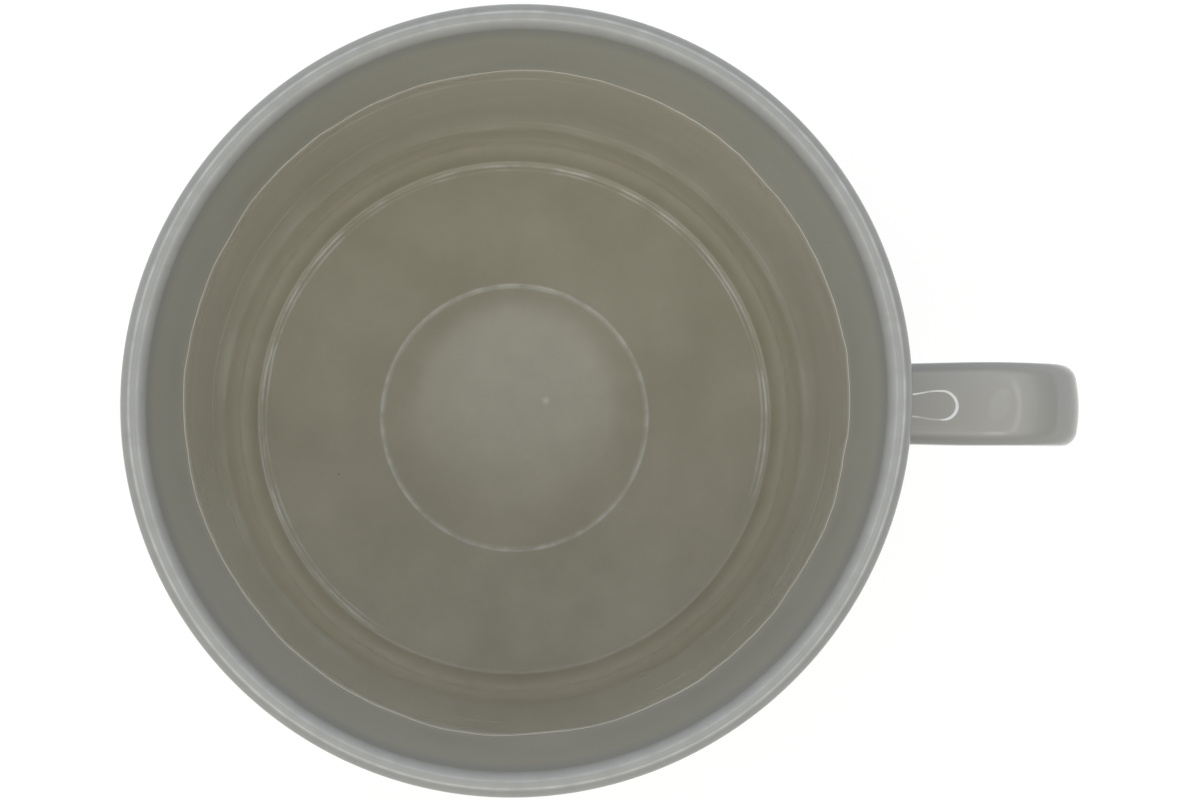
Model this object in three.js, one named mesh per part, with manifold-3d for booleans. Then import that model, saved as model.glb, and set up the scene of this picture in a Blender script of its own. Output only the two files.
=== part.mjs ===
// A glazed stoneware mug: a thrown cup with a flared lip, a strap handle luted on with slip,
// and the glaze coats that were fired on afterwards. Millimetres, +Z up, standing on z = 0.

import * as THREE from 'three';
import { mergeVertices } from 'three/addons/utils/BufferGeometryUtils.js';
import Module from 'manifold-3d';

const wasm = await Module();
wasm.setup();

// Cup
const height = 95;            // foot to the top of the lip
const bodyRadius = 42.2;      // outside of the straight wall, glaze included
const wall = 3.5;             // straight wall, glaze included
const lipFlare = 2.8;         // how far the lip stands out beyond the wall
const lipThickness = 2.7;     // thickness at the rounded lip
const creaseDepth = 12;       // top of the lip down to the line where the inside wall starts
const flareHeight = 16;       // height of the flare on the outside
const bottomRound = 10;       // round between the wall and the underside

// Inside floor
const floorTop = 6.5;         // height of the flat disc in the middle
const discRadius = 18.5;      // flat disc
const ringWidth = 0.6;        // sloping edge of the disc
const ringRise = 0.4;         // height of that edge
const dishSlope = 8;          // degrees that the floor rises from the disc to the corner
const cornerRound = 5;        // round between floor and wall

// Foot ring
const footHeight = 4;         // underside of the cup above the table
const footReveal = 1.2;       // bare clay between the glaze's edge and the foot ring
const footWidth = 4;          // width of the ring that stands on the table
const footChamfer = 0.5;      // broken edges of the ring
const recessDepth = 2.5;      // hollow inside the ring

// Handle
const handleDrop = 19;        // top of the lip down to the middle of the upper joint
const handleSpan = 46;        // upper joint to lower joint
const fingerGap = 19.8;       // cup wall to the inside of the grip
const strapWidth = 10.2;      // glaze included
const strapThickness = 6.5;   // glaze included
const strapRound = 2.4;       // rounded long edges of the strap
const upperBend = 8;          // bend radius at the middle of the strap
const lowerBend = 14;

// Coats, joints and clearances
const glaze = 0.4;            // thickness of a fired glaze coat
const slip = 0.9;             // thickness of the slip in a handle joint
const slipBead = 0.8;         // slip squeezed out round the strap
const seatGap = 0.3;          // clearance where a piece is cut to fit its neighbour

// Fineness of the round shapes
const turnSegments = 36;
const arcSteps = 2;
const strapSteps = 26;
const strapCornerSteps = 1;

const innerRadius = bodyRadius - wall;
const rimRadius = bodyRadius + lipFlare;
const rimRound = lipThickness / 2;
const footRadius = bodyRadius - bottomRound - footReveal;
const upperJoint = height - handleDrop;
const lowerJoint = upperJoint - handleSpan;
const gripX = bodyRadius + fingerGap + strapThickness / 2;
const reach = gripX + strapThickness / 2;
const nearlySame = 1e-6;

// Points of a profile (x is the radius, y the height), without doubled ones
function profilePoints(path) {
  const points = [];
  for (const point of path.getPoints(arcSteps)) {
    const last = points.at(-1);
    if (!last || last.distanceTo(point) > nearlySame) {
      points.push(point);
    }
  }
  return points;
}

// A profile moved sideways, to its right when distance is positive, with mitred corners
function offsetPoints(points, distance) {
  const sides = [];
  for (let i = 1; i < points.length; i += 1) {
    const along = points[i].clone().sub(points[i - 1]).normalize();
    sides.push(new THREE.Vector2(along.y, -along.x));
  }
  return points.map((point, i) => {
    const before = sides[Math.max(i - 1, 0)];
    const after = sides[Math.min(i, sides.length - 1)];
    const mitre = before.clone().add(after).divideScalar(1 + before.dot(after));
    return point.clone().addScaledVector(mitre, distance);
  });
}

// Inside of the cup, from the middle of the floor to the crease below the lip
function insideProfile() {
  const slope = THREE.MathUtils.degToRad(dishSlope);
  const dishStart = new THREE.Vector2(discRadius + ringWidth, floorTop + ringRise);
  const cornerX = innerRadius - cornerRound;
  const dishHeight = dishStart.y + Math.tan(slope) * (cornerX - dishStart.x);
  const cornerZ = dishHeight + cornerRound / Math.cos(slope);
  const path = new THREE.Path();
  path.moveTo(0, floorTop);
  path.lineTo(discRadius, floorTop);
  path.lineTo(dishStart.x, dishStart.y);
  path.absarc(cornerX, cornerZ, cornerRound, slope - Math.PI / 2, 0, false);
  path.lineTo(innerRadius, height - creaseDepth);
  return profilePoints(path);
}

// Inside of the lip and its rounded edge, from the crease to the very top
function lipProfile() {
  const path = new THREE.Path();
  path.moveTo(innerRadius, height - creaseDepth);
  path.lineTo(rimRadius - lipThickness, height - rimRound);
  path.absarc(rimRadius - rimRound, height - rimRound, rimRound, Math.PI, Math.PI / 2, true);
  return profilePoints(path);
}

// Outside of the cup, from the very top down to where the glaze stops above the foot
function outsideProfile() {
  const bottomX = bodyRadius - bottomRound;
  const bottomZ = footHeight + bottomRound;
  const flareZ = height - flareHeight;
  const path = new THREE.Path();
  path.moveTo(rimRadius - rimRound, height);
  path.absarc(rimRadius - rimRound, height - rimRound, rimRound, Math.PI / 2, 0, true);
  path.quadraticCurveTo(bodyRadius, (height + flareZ) / 2, bodyRadius, flareZ);
  path.lineTo(bodyRadius, bottomZ);
  path.absarc(bottomX, bottomZ, bottomRound, 0, -Math.PI / 2, true);
  return profilePoints(path);
}

// Foot ring and the hollow inside it, from the ring's outer wall to the axis
function footProfile() {
  const inner = footRadius - footWidth;
  const path = new THREE.Path();
  path.moveTo(footRadius, footHeight + glaze);
  path.lineTo(footRadius, footChamfer);
  path.lineTo(footRadius - footChamfer, 0);
  path.lineTo(inner + footChamfer, 0);
  path.lineTo(inner, footChamfer);
  path.lineTo(inner, recessDepth);
  path.lineTo(0, recessDepth);
  return profilePoints(path);
}

// A profile turned about the cup's upright axis; its material lies to the right of its points
function turned(points) {
  const geometry = new THREE.LatheGeometry(points.toReversed(), turnSegments);
  geometry.rotateX(Math.PI / 2);
  return geometry;
}

function toSolid(geometry) {
  const bare = geometry.clone();
  bare.deleteAttribute('normal');
  bare.deleteAttribute('uv');
  const merged = mergeVertices(bare);
  const vertProperties = new Float32Array(merged.attributes.position.array);
  const triVerts = new Uint32Array(merged.index.array);
  return new wasm.Manifold(new wasm.Mesh({ numProp: 3, vertProperties, triVerts }));
}

function toGeometry(solid) {
  const mesh = solid.getMesh();
  const geometry = new THREE.BufferGeometry();
  geometry.setAttribute('position', new THREE.BufferAttribute(mesh.vertProperties, 3));
  geometry.setIndex(new THREE.BufferAttribute(mesh.triVerts, 1));
  return geometry;
}

// A flat path in the plane y = 0, drawn with x to the side and the path's y upwards
class UprightCurve extends THREE.Curve {
  constructor(path) {
    super();
    this.path = path;
  }

  getPoint(t, target = new THREE.Vector3()) {
    const flat = this.path.getPoint(t);
    return target.set(flat.x, 0, flat.y);
  }
}

// Middle line of the strap, from inside the wall at the upper joint round to the lower one
function handleCurve() {
  const path = new THREE.Path();
  path.moveTo(innerRadius, upperJoint);
  path.lineTo(gripX - upperBend, upperJoint);
  path.absarc(gripX - upperBend, upperJoint - upperBend, upperBend, Math.PI / 2, 0, true);
  path.lineTo(gripX, lowerJoint + lowerBend);
  path.absarc(gripX - lowerBend, lowerJoint + lowerBend, lowerBend, 0, -Math.PI / 2, true);
  path.lineTo(innerRadius, lowerJoint);
  return new UprightCurve(path);
}

// A short straight length of the strap's middle line through the wall
function jointCurve(jointHeight) {
  const start = new THREE.Vector3(innerRadius, 0, jointHeight);
  const end = new THREE.Vector3(bodyRadius + wall, 0, jointHeight);
  return new THREE.LineCurve3(start, end);
}

// Rounded section of the strap, grown all round; x is its thickness and y its width
function strapSection(grow, Kind) {
  const round = strapRound + grow;
  const x = strapThickness / 2 - strapRound;
  const y = strapWidth / 2 - strapRound;
  const outline = new Kind();
  outline.absarc(x, y, round, 0, Math.PI / 2, false);
  outline.absarc(-x, y, round, Math.PI / 2, Math.PI, false);
  outline.absarc(-x, -y, round, Math.PI, 1.5 * Math.PI, false);
  outline.absarc(x, -y, round, 1.5 * Math.PI, 2 * Math.PI, false);
  return outline;
}

function strapAlong(curve, steps, shape) {
  return new THREE.ExtrudeGeometry(shape, { extrudePath: curve, steps, curveSegments: strapCornerSteps });
}

const inside = insideProfile();
const lip = lipProfile();
const outside = outsideProfile();
const glazed = [...inside, ...lip.slice(1), ...outside.slice(1)];
const clay = offsetPoints(glazed, glaze);
const crease = inside.length - 1;

// All that lies within the outside of the cup, moved out from its bare clay by a distance
function withinCup(distance) {
  const skin = offsetPoints(outside, glaze - distance);
  const top = new THREE.Vector2(0, skin[0].y);
  const bottom = new THREE.Vector2(0, skin.at(-1).y);
  return toSolid(turned([top, ...skin, bottom]));
}

function slipJoint(jointHeight) {
  const bead = strapSection(slipBead, THREE.Shape);
  const stub = toSolid(strapAlong(jointCurve(jointHeight), 1, bead));
  const pad = stub.intersect(withinCup(seatGap + slip)).subtract(withinCup(seatGap));
  return toGeometry(pad);
}

function jointWindow(jointHeight) {
  const opening = strapSection(slipBead + seatGap, THREE.Shape);
  return toSolid(strapAlong(jointCurve(jointHeight), 1, opening));
}

function outerCoat() {
  const loop = [...glazed.slice(crease), ...clay.slice(crease).reverse(), glazed[crease]];
  const coat = toSolid(turned(loop));
  const cut = coat.subtract(jointWindow(upperJoint)).subtract(jointWindow(lowerJoint));
  return toGeometry(cut);
}

function linerCoat() {
  return turned([...glazed.slice(0, crease + 1), ...clay.slice(0, crease + 1).reverse()]);
}

// The strap's ends stop clear of the slip, and its clay clear of its coat
function cutToCup(geometry) {
  return toGeometry(toSolid(geometry).subtract(withinCup(2 * seatGap + slip)));
}

function strap() {
  return cutToCup(strapAlong(handleCurve(), strapSteps, strapSection(-glaze - seatGap, THREE.Shape)));
}

function strapCoat() {
  const ring = strapSection(0, THREE.Shape);
  ring.holes.push(strapSection(-glaze, THREE.Path));
  return cutToCup(strapAlong(handleCurve(), strapSteps, ring));
}

const mug = new THREE.Group();
mug.position.x = (rimRadius - reach) / 2;

function addPiece(name, geometry, color, roughness) {
  const material = new THREE.MeshStandardMaterial({ color, roughness, metalness: 0 });
  const piece = new THREE.Mesh(geometry, material);
  piece.name = name;
  mug.add(piece);
}

addPiece('body', turned([...clay, ...footProfile()]), '#b5aa98', 0.85);
addPiece('handle', strap(), '#b5aa98', 0.85);
addPiece('upper_slip_joint', slipJoint(upperJoint), '#b0a592', 0.9);
addPiece('lower_slip_joint', slipJoint(lowerJoint), '#b0a592', 0.9);
addPiece('liner_glaze', linerCoat(), '#a39d8d', 0.12);
addPiece('outer_glaze', outerCoat(), '#a09e97', 0.12);
addPiece('handle_glaze', strapCoat(), '#a09e97', 0.12);

export default mug;
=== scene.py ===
# %% [markdown]
# # A glazed stoneware mug
# This lesson dresses a plain mug: a turned cup with a flared lip, a dished floor and a bare foot ring, and
# a strap handle luted to its side. The construction is already there as a fixed frame of solids at real
# size. Each visible piece is made again here as a fine mesh with its own finish, in the same place.

# %% Load the frame
import math

import bmesh
import bpy
from mathutils import Matrix, Vector, noise


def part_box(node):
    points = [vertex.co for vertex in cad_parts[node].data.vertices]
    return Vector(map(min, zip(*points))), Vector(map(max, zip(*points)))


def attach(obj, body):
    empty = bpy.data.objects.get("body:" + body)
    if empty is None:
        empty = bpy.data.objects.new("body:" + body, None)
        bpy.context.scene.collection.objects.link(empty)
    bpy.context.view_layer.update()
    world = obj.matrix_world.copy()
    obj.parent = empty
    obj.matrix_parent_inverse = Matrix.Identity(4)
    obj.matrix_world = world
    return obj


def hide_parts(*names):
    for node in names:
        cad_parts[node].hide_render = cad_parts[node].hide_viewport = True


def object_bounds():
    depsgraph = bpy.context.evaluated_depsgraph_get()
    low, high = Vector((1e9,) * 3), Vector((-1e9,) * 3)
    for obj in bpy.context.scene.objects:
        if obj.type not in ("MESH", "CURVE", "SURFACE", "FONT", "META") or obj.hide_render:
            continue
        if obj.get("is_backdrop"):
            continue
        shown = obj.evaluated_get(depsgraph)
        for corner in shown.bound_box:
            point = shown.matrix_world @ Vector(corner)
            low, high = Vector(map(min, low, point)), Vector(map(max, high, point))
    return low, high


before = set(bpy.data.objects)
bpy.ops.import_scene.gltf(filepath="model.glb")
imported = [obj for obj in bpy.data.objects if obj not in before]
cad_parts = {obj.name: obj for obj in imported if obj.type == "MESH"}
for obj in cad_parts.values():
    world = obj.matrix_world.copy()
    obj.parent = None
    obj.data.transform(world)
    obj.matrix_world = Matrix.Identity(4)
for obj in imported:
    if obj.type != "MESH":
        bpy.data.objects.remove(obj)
cad_low, cad_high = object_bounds()
print("solids in the frame:", sorted(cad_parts))

# %% [markdown]
# ## Sizes
# What the frame can tell is read from its boxes: the cup's axis, its rim, its height, the thickness of the
# glaze and the reach of the handle. The few sizes that a box doesn't show, such as a wall or a bend, are
# named here once, in metres.

# %% Read the sizes
MM = 0.001

cup_low, cup_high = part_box("outer_glaze")
_, clay_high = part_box("body")
liner_low, liner_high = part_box("liner_glaze")
strap_low, strap_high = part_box("handle_glaze")

axis_x = (cup_low.x + cup_high.x) / 2
height = cup_high.z
glaze = cup_high.z - clay_high.z
rim_radius = (cup_high.y - cup_low.y) / 2
inner_radius = (liner_high.y - liner_low.y) / 2 - glaze
floor_top = liner_low.z + glaze
underside = cup_low.z
reach = strap_high.x - axis_x
strap_width = strap_high.y - strap_low.y

body_radius = 42.2 * MM
lip_thickness = 3.0 * MM
flare_height = 16 * MM
crease_depth = 12 * MM
bottom_round = 10 * MM
disc_radius = 18.5 * MM
dish_slope = math.radians(8)
foot_reveal = 1.2 * MM
foot_width = 4 * MM
recess_depth = 2.5 * MM
strap_thickness = 6.5 * MM
upper_joint = strap_high.z - strap_thickness / 2
lower_joint = strap_low.z + strap_thickness / 2
upper_bend = 8 * MM
lower_bend = 14 * MM

rim_round = lip_thickness / 2
foot_radius = body_radius - bottom_round - foot_reveal
crease_z = height - crease_depth
grip_x = reach - strap_thickness / 2
print(f"rim {2000 * rim_radius:.1f} mm across, {1000 * height:.1f} mm tall, reach {1000 * reach:.1f} mm")

# %% [markdown]
# ## Helpers
# Colours are written as the sRGB hex values that a paint program shows, and Blender wants linear light, so
# one function turns them. Node trees are long to write by hand, so one function adds a node, sets its
# properties and fills or links its inputs. The kinds of node that come up often get short names.

# %% Colour and node helpers
MATH = "ShaderNodeMath"
VECTOR_MATH = "ShaderNodeVectorMath"
INTEGER_MATH = "FunctionNodeIntegerMath"
ROTATE = "ShaderNodeVectorRotate"
COMBINE = "ShaderNodeCombineXYZ"
MAP_RANGE = "ShaderNodeMapRange"
NOISE = "ShaderNodeTexNoise"
MIX = "ShaderNodeMix"


def linear(hex_colour):
    """The linear RGBA of an sRGB hex colour such as #a09e97."""
    channels = [int(hex_colour[i : i + 2], 16) / 255 for i in (1, 3, 5)]
    rgb = [c / 12.92 if c <= 0.04045 else ((c + 0.055) / 1.055) ** 2.4 for c in channels]
    return (*rgb, 1.0)


def fill(tree, node, inputs):
    """Gives each named input of a node a value or a link; a node stands for its first output."""
    for name, value in inputs.items():
        if isinstance(value, bpy.types.Node):
            value = value.outputs[0]
        if isinstance(value, bpy.types.NodeSocket):
            tree.links.new(value, node.inputs[name])
        else:
            node.inputs[name].default_value = value


def add_node(tree, kind, *inputs, **settings):
    """Adds a node, sets its properties and fills its inputs, in their order or by name from a dict."""
    node = tree.nodes.new(kind)
    for name, value in settings.items():
        setattr(node, name, value)
    for place, value in enumerate(inputs):
        fill(tree, node, value if isinstance(value, dict) else {place: value})
    return node


def new_material(name):
    """A material with its node tree and main shader."""
    material = bpy.data.materials.new(name)
    material.use_nodes = True
    return material, material.node_tree, material.node_tree.nodes["Principled BSDF"]


def placed(name, data):
    """An object in the scene."""
    made = bpy.data.objects.new(name, data)
    bpy.context.scene.collection.objects.link(made)
    return made


print("a mid grey in linear light:", [round(c, 3) for c in linear("#808080")])

# %% [markdown]
# ## Glaze
# The mug is stoneware with a glossy glaze: a fine layer of glass, melted onto the clay. The eye sees a
# sharp reflection on top (IOR about 1.5, low roughness), a soft clouded colour below it, a few iron specks
# that came through from the clay, and the fine orange peel of the melt. The colour shifts with how thick
# the glaze lies, and it also carries painted light: the liner's corner and low wall are painted lighter
# against the shade in the cup, the inside of the lip is painted warmer for the light that comes back from
# the liner, and the top of the handle is painted lighter near the cup. Pale lines are partly glaze that
# thinned over an edge and partly painted highlights and reflections. All of these could be painted on a
# picture, but attributes of the mesh say exactly where they run. `tint` goes from 0 where the glaze pooled,
# over 0.5 on a wall, to 1 at the lip. `breaks` marks thinned edges and painted highlights. `seam`
# measures the way across a painted highlight line in halves of its width, and `laps` gives that line's
# strength.

# %% Glaze material
GLAZE_MARKS = ("tint", "breaks", "seam", "laps")


def glaze_material(name, hexes, edge_hex, speck_hex, roughness, scar=None):
    """A glossy stoneware glaze; hexes are its colours where it pooled, on a wall and at the lip, partly
    painted light.
    """
    material, tree, shader = new_material(name)
    place = add_node(tree, "ShaderNodeTexCoord").outputs["Object"]
    marks = {}
    for mark in GLAZE_MARKS:
        marks[mark] = add_node(tree, "ShaderNodeAttribute", attribute_name=mark).outputs["Fac"]

    # what varies over the melt: size, detail and roughness of its patches, then which stretch of the noise
    # is spread over which values
    varied = {}
    for use, size, detail, grain, start, end, low, high in (
        ("thickness", 10 * MM, 4.0, 0.55, 0.0, 1.0, -0.12, 0.12),
        ("beads", 2.5 * MM, 3.0, 0.5, 0.35, 0.65, 0.45, 1.15),
        ("wander", 8 * MM, 3.0, 0.5, 0.0, 1.0, -1.5, 1.5),
        ("fade", 5 * MM, 4.0, 0.5, 0.4, 0.62, 0.2, 1.0),
        ("dullness", 9 * MM, 2.0, 0.5, 0.0, 1.0, 0.75 * roughness, 1.25 * roughness),
        ("peel", 2.4 * MM, 1.0, 0.4, 0.0, 1.0, 0.0, 1.0),
    ):
        pattern = {"Vector": place, "Scale": 1 / size, "Detail": detail, "Roughness": grain}
        patches = add_node(tree, NOISE, pattern)
        varied[use] = add_node(tree, MAP_RANGE, patches, start, end, low, high)

    # the colour follows the thickness of the glaze, and the painted light laid into the same attribute
    depth = add_node(tree, MATH, marks["tint"], varied["thickness"], operation="ADD")
    ramp = add_node(tree, "ShaderNodeValToRGB", depth)
    stops = ramp.color_ramp.elements
    stops.new(0.5)
    for stop, position, hex_colour in zip(stops, (0.0, 0.5, 1.0), hexes):
        stop.position = position
        stop.color = linear(hex_colour)

    # pale where the glaze ran thinner over an edge, and pale too where highlights are painted on the step,
    # ledge and rim and reflections on the handle, in beads rather than in one even line
    edge = add_node(tree, MATH, marks["breaks"], varied["beads"], operation="MULTIPLY")

    # a painted highlight line wanders by about its own width and fades in and out along its way
    across = add_node(tree, MATH, marks["seam"], varied["wander"], operation="ADD")
    away = add_node(tree, MATH, across, operation="ABSOLUTE")
    on_line = add_node(tree, MAP_RANGE, away, 0.4, 1.3, 1.0, 0.0, interpolation_type="SMOOTHSTEP")
    strength = add_node(tree, MATH, marks["laps"], varied["fade"], operation="MULTIPLY")
    pale = add_node(tree, MATH, on_line, strength, edge, operation="MULTIPLY_ADD", use_clamp=True)

    # iron specks: one cell in several holds a dot a third of a millimetre across
    speck_spacing = 7 * MM
    speck_radius = 0.16 * MM
    chosen_above = 0.55
    spacing = {"Vector": place, "Scale": 1 / speck_spacing, "Randomness": 1.0}
    cells = add_node(tree, "ShaderNodeTexVoronoi", spacing, feature="F1").outputs
    near = add_node(tree, MATH, cells["Distance"], speck_radius / speck_spacing, operation="LESS_THAN")
    chosen = add_node(tree, MATH, cells["Color"], chosen_above, operation="GREATER_THAN")
    speck = add_node(tree, MATH, near, chosen, operation="MULTIPLY")

    # layer over layer: pale edges and painted highlights, specks and, where there is one, a small pale dot
    layers = [(pale, edge_hex), (speck, speck_hex)]
    if scar:
        apart = add_node(tree, VECTOR_MATH, place, scar, operation="DISTANCE").outputs["Value"]
        layers.append((add_node(tree, MAP_RANGE, apart, 0.2 * MM, 0.7 * MM, 0.35, 0.0), edge_hex))
    colour = ramp
    for amount, hex_colour in layers:
        over = {"Factor": amount, 6: colour, 7: linear(hex_colour)}
        colour = add_node(tree, MIX, over, data_type="RGBA").outputs[2]

    # some stretches come out of the fire duller than others, and a fine orange peel stays
    relief = {"Strength": 0.06, "Distance": 0.02 * MM, "Height": varied["peel"]}
    bump = add_node(tree, "ShaderNodeBump", relief)
    fill(tree, shader, {"Base Color": colour, "Roughness": varied["dullness"], "Normal": bump, "IOR": 1.5})
    return material


# dipped outer glaze: a cool, neutral grey-white with a hard gloss; the warmer colour inside the lip is
# painted light bounced from the liner, and the lighter pooled colour also paints light on the top of the
# handle
outer_glaze = glaze_material(
    "outer_stoneware_glaze", ("#a6a5a1", "#999b99", "#a7a79f"), "#eef1f1", "#6a6156", 0.11
)
# poured liner glaze: a warm grey-cream that lies thickest on the floor; its much lighter middle colour is
# painted light, laid on the corner and low wall against the shade in the cup
# a small pale dot on the floor of the cup
healed_pinhole = (axis_x + 4.4 * MM, 2.4 * MM, floor_top)
liner_glaze = glaze_material(
    "liner_stoneware_glaze", ("#a19e88", "#e3e0d3", "#b9b6ab"), "#eef1f0", "#73695b", 0.08, healed_pinhole
)
print("glazes:", outer_glaze.name, "and", liner_glaze.name)

# %% [markdown]
# ## Bare clay
# The foot ring is wiped clean before firing, so that the mug doesn't stick to the kiln shelf. Fired
# stoneware without glaze is dry and matt, buff to grey, with fine grog in it that can be felt. Two noises
# give that: a slow one for the flame's uneven colour and a fine one for the grog, which also roughens it.


# %% Bare clay material
def bare_clay_material(name):
    """Unglazed fired stoneware: matt, with grog grains and a slightly uneven colour."""
    material, tree, shader = new_material(name)
    place = add_node(tree, "ShaderNodeTexCoord").outputs["Object"]
    patterns = {}
    for use, size, detail in (("flame", 16 * MM, 5.0), ("grog", 0.7 * MM, 3.0)):
        pattern = {"Vector": place, "Scale": 1 / size, "Detail": detail}
        patterns[use] = add_node(tree, NOISE, pattern)
    flushed = {"Factor": patterns["flame"], 6: linear("#b3a692"), 7: linear("#9d8f7b")}
    body = add_node(tree, MIX, flushed, data_type="RGBA").outputs[2]
    dark = add_node(tree, MAP_RANGE, patterns["grog"], 0.58, 0.72, 0.0, 0.35)
    speckled = {"Factor": dark, 6: body, 7: linear("#75685a")}
    colour = add_node(tree, MIX, speckled, data_type="RGBA").outputs[2]
    rough = add_node(tree, MAP_RANGE, patterns["grog"], 0.0, 1.0, 0.78, 0.95)
    relief = {"Strength": 0.5, "Distance": 0.08 * MM, "Height": patterns["grog"]}
    bump = add_node(tree, "ShaderNodeBump", relief)
    fill(tree, shader, {"Base Color": colour, "Roughness": rough, "Normal": bump, "IOR": 1.5})
    return material


bare_clay = bare_clay_material("bare_fired_stoneware")
print("bare clay:", bare_clay.name)

# %% [markdown]
# ## The turning tree
# A cup is turned: one profile, carried round an axis. That is a rule, so a Geometry Nodes tree follows it.
# It lays out a grid with one row for each profile point and one column for each step round, samples the
# profile for every grid point, and turns that point about the axis. On the way it adds what the potter's
# hands leave: faint throwing rings, a slow unevenness, a glaze edge that drifts, and a lip that is a little
# oval. A Spin would give the same round shape, but none of these follow from it. The noises are four
# dimensional, and their fourth coordinate is the seed, so the marks come out the same on every run.


# %% Named inputs, grid and samples
ROW_VECTORS = ("position", "side", "lap")
ROW_MARKS = ("ripple", "drift", "oval", "tint", "breaks", "seam")


def named_inputs(tree):
    """Gives the tree its inputs and its output, and returns the identifiers of the inputs."""
    sockets = {}
    sizes = {
        "Axis X": 0.0,
        "Ring Spacing": 5 * MM,
        "Ring Depth": 0.08 * MM,
        "Ring Breaks": 1.0,
        "Uneven Size": 30 * MM,
        "Uneven Depth": 0.16 * MM,
        "Edge Drift": 1.0 * MM,
        "Edge Wander": 0.7 * MM,
        "Lip Oval": -0.6 * MM,
        "Oval Angle": math.radians(50),
        "Seed": 4.0,
    }
    for kind, values in (
        ("NodeSocketGeometry", {"Profile": None}),
        ("NodeSocketInt", {"Segments": 256}),
        ("NodeSocketFloat", sizes),
        ("NodeSocketMaterial", {"Material": None}),
    ):
        for name, value in values.items():
            socket = tree.interface.new_socket(name, in_out="INPUT", socket_type=kind)
            if value is not None:
                socket.default_value = value
            sockets[name] = socket.identifier
    tree.interface.new_socket("Geometry", in_out="OUTPUT", socket_type="NodeSocketGeometry")
    return sockets


def sampled_grid(tree, given):
    """A grid with a row for each profile point, the angle of each column, and what the profile holds."""
    count = add_node(tree, "GeometryNodeAttributeDomainSize", given["Profile"], component="MESH")

    # a column for each step round, and one more that lies on top of the first
    columns = add_node(tree, INTEGER_MATH, given["Segments"], 1, operation="ADD")
    grid = add_node(tree, "GeometryNodeMeshGrid", {"Vertices X": count, "Vertices Y": columns})
    index = add_node(tree, "GeometryNodeInputIndex")
    row = add_node(tree, INTEGER_MATH, index, columns, operation="DIVIDE_FLOOR")
    column = add_node(tree, INTEGER_MATH, index, columns, operation="MODULO")
    step = add_node(tree, MATH, math.tau, given["Segments"], operation="DIVIDE")
    angle = add_node(tree, MATH, column, step, operation="MULTIPLY")

    # at this row: its place, the way out of the clay, and the hand marks
    at = {}
    kinds = {**dict.fromkeys(ROW_VECTORS, "FLOAT_VECTOR"), **dict.fromkeys(ROW_MARKS, "FLOAT")}
    for mark, kind in kinds.items():
        held = add_node(tree, "GeometryNodeInputNamedAttribute", {"Name": mark}, data_type=kind)
        taken = {"Geometry": given["Profile"], "Value": held, "Index": row}
        at[mark] = add_node(tree, "GeometryNodeSampleIndex", taken, data_type=kind, domain="POINT")
    return grid, angle, at


print("marks in a row:", ", ".join(ROW_VECTORS + ROW_MARKS))

# %% [markdown]
# The hand marks are worked out next: where each grid point goes, and how strong a lap line is there. Then
# the marks that the glaze reads are kept on the mesh, and the grid is moved, closed and painted.


# %% Hand marks and the whole tree
def marked_place(tree, given, angle, at):
    """Where a grid point goes: the profile turned about the axis, with the hand marks on it."""
    outward = add_node(tree, ROTATE, {"Vector": (1.0, 0.0, 0.0), "Angle": angle}, rotation_type="Z_AXIS")

    # the glaze edge drifts up and down and in and out as it goes round
    waves = {"Vector": outward, "W": given["Seed"], "Scale": 4.5, "Detail": 3.0}
    edge = add_node(tree, NOISE, waves, noise_dimensions="4D").outputs["Color"]
    swing = add_node(tree, VECTOR_MATH, edge, (0.5, 0.5, 0.5), operation="SUBTRACT")
    room = add_node(tree, COMBINE, {"X": given["Edge Wander"], "Z": given["Edge Drift"]})
    swung = add_node(tree, VECTOR_MATH, swing, room, operation="MULTIPLY")
    point = add_node(tree, VECTOR_MATH, swung, at["drift"], at["position"], operation="MULTIPLY_ADD")
    turned = add_node(tree, ROTATE, {"Vector": point, "Angle": angle}, rotation_type="Z_AXIS")
    side = add_node(tree, ROTATE, {"Vector": at["side"], "Angle": angle}, rotation_type="Z_AXIS")

    # throwing rings hardly change round the cup and follow each other up the wall
    climb = add_node(tree, VECTOR_MATH, at["position"], (0.5, 0.0, 1.0), operation="DOT_PRODUCT")
    level = add_node(tree, MATH, climb.outputs["Value"], given["Ring Spacing"], operation="DIVIDE")
    lift = add_node(tree, COMBINE, {"Z": level})
    ring_place = add_node(tree, VECTOR_MATH, outward, given["Ring Breaks"], lift, operation="MULTIPLY_ADD")

    # the slow unevenness has no direction; both push the face in and out
    fineness = add_node(tree, MATH, 1.0, given["Uneven Size"], operation="DIVIDE")
    off = 0.0
    kinds = ((ring_place, 1.0, given["Ring Depth"]), (turned, fineness, given["Uneven Depth"]))
    for where, scale, depth in kinds:
        waves = {"Vector": where, "W": given["Seed"], "Scale": scale, "Detail": 0.0}
        height_there = add_node(tree, NOISE, waves, noise_dimensions="4D")
        swing = add_node(tree, MATH, height_there, 0.5, operation="SUBTRACT")
        off = add_node(tree, MATH, swing, depth, off, operation="MULTIPLY_ADD")
    share = add_node(tree, MATH, off, at["ripple"], operation="MULTIPLY")
    marked = add_node(tree, VECTOR_MATH, side, share, turned, operation="MULTIPLY_ADD")

    # the lip is narrower across than along
    past = add_node(tree, MATH, angle, given["Oval Angle"], operation="SUBTRACT")
    sine = add_node(tree, MATH, past, operation="SINE")
    across = add_node(tree, MATH, sine, sine, operation="MULTIPLY")
    share = add_node(tree, MATH, given["Lip Oval"], at["oval"], operation="MULTIPLY")
    pinch = add_node(tree, MATH, across, share, operation="MULTIPLY")
    return add_node(tree, VECTOR_MATH, outward, pinch, marked, operation="MULTIPLY_ADD")


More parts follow.
